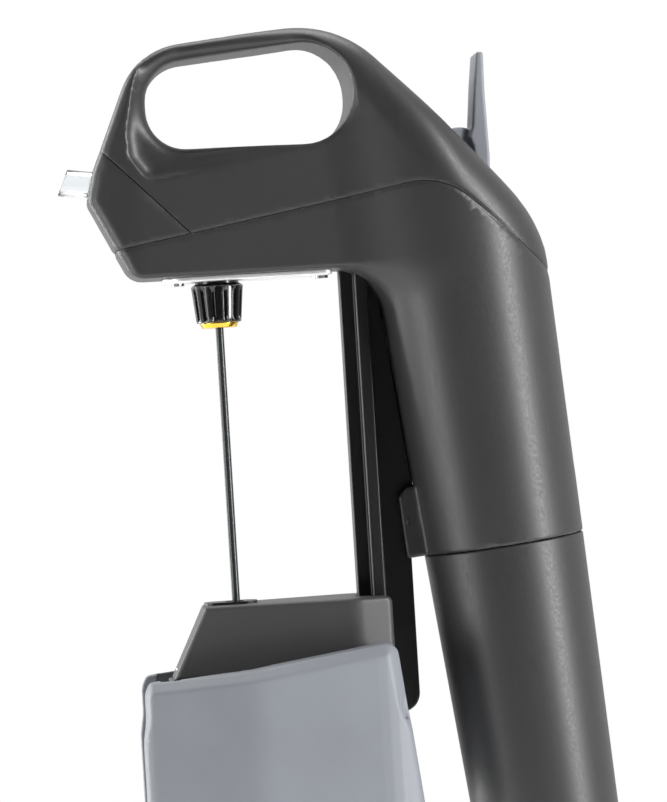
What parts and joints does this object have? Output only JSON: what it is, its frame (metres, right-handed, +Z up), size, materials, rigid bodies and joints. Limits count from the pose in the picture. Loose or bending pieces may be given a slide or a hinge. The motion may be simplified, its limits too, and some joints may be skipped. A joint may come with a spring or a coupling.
{
  "type": "needle wine opener",
  "caption": "Hand-held needle wine opener: sliding head with finger-loop handle, gas capsule tube, thumb trigger, pour spout and sprung neck clamp.",
  "frame": {"origin": "on the needle's axis, in the plane where the bottle's lip stops against the clamp", "axes": "+Z up along the needle and the rail, +X from the spout to the gas tube, +Y across the wings"},
  "size_m": [0.1252, 0.051, 0.2037],
  "materials": {
    "shell_charcoal": "satin moulded plastic, fine texture",
    "clamp_charcoal": "satin moulded plastic",
    "wing_grey": "soft-touch grey plastic",
    "trigger_grey": "grey painted light alloy",
    "rail_black": "semi-gloss acetal",
    "nut_black": "gloss moulded plastic",
    "ring_gold": "anodised gold",
    "needle_steel": "dark coated steel",
    "plate_silver": "brushed",
    "spout_clear": "clear moulded plastic",
    "rubber_black": "moulded rubber",
    "screw_steel": "zinc plated",
    "spring_steel": "spring wire",
    "inner_white": "natural acetal",
    "regulator_metal": "machined",
    "brass": "turned",
    "capsule_steel": "drawn steel"
  },
  "bodies": {
    "clamp": {"clamp_block": "clamp_charcoal", "clamp_base": "clamp_charcoal", "clamp_screws": "screw_steel", "needle_guide": "rail_black", "lip_pad": "rubber_black", "bearing_pads": "inner_white", "hinge_pins": "screw_steel", "wing_spring_near": "spring_steel", "wing_spring_far": "spring_steel"},
    "near_wing": {"wing_near": "wing_grey", "grip_near": "rubber_black"},
    "far_wing": {"wing_far": "wing_grey", "grip_far": "rubber_black"},
    "head": {"handle_shell": "shell_charcoal", "lower_housing": "shell_charcoal", "spout_cover": "shell_charcoal", "base_plate": "plate_silver", "base_plate_screws": "screw_steel", "housing_screws": "screw_steel", "manifold": "inner_white", "spout": "spout_clear", "spout_seal": "rubber_black", "needle_seal": "rubber_black", "gas_tube": "brass", "regulator_body": "regulator_metal", "regulator_cap": "regulator_metal", "regulator_screws": "screw_steel", "stem_seal": "rubber_black", "relief_valve": "brass", "piercing_pin": "needle_steel", "capsule_seal": "rubber_black", "thread_collar": "regulator_metal", "rail": "rail_black", "rail_screw": "screw_steel", "rail_pin": "screw_steel", "trigger_pin": "screw_steel", "trigger_spring": "spring_steel", "valve_spring": "spring_steel"},
    "trigger": {"trigger": "trigger_grey"},
    "valve": {"valve_stem": "screw_steel", "valve_piston": "regulator_metal"},
    "needle": {"needle": "needle_steel", "needle_nut": "nut_black", "needle_ring": "ring_gold"},
    "cup": {"capsule_cup": "shell_charcoal", "cup_thread_ring": "regulator_metal", "cup_cushion": "rubber_black"},
    "capsule": {"gas_capsule": "capsule_steel"}
  },
  "joints": [
    {"name": "press_slide", "type": "slide", "parent": "clamp", "child": "head", "axis": [0, 0, -1], "range_m": [0, 0.062]},
    {"name": "near_wing_hinge", "type": "hinge", "parent": "clamp", "child": "near_wing", "pos_m": [0, -0.0175, 0.0015], "axis": [-1, 0, 0], "range_deg": [0, 12], "stiffness_Nm_per_rad": 0.5, "springref_deg": -17.19},
    {"name": "far_wing_hinge", "type": "hinge", "parent": "clamp", "child": "far_wing", "pos_m": [0, 0.0175, 0.0015], "axis": [1, 0, 0], "range_deg": [0, 12], "stiffness_Nm_per_rad": 0.5, "springref_deg": -17.19},
    {"name": "trigger_press", "type": "hinge", "parent": "head", "child": "trigger", "pos_m": [0.0594, 0, 0.1248], "axis": [0, -1, 0], "range_deg": [0, 14], "stiffness_Nm_per_rad": 0.3, "springref_deg": -8.59, "deforming": ["trigger_spring"]},
    {"name": "valve_push", "type": "slide", "parent": "head", "child": "valve", "axis": [0.0958, 0, -0.9954], "range_m": [0, 0.0007], "deforming": ["valve_spring"]},
    {"name": "needle_turn", "type": "hinge", "parent": "head", "child": "needle", "pos_m": [0, 0, 0.0998], "axis": [0, 0, 1], "continuous": true},
    {"name": "cup_off", "type": "slide", "parent": "head", "child": "cup", "axis": [0.0958, 0, -0.9954], "range_m": [0, 0.17]},
    {"name": "capsule_out", "type": "slide", "parent": "head", "child": "capsule", "axis": [0.0958, 0, -0.9954], "range_m": [0, 0.085]}
  ],
  "couplings": [
    {"joint": "valve_push", "follows": "trigger_press", "m_per_rad": 0.0028},
    {"joint": "capsule_out", "follows": "cup_off", "ratio": 0.5}
  ]
}
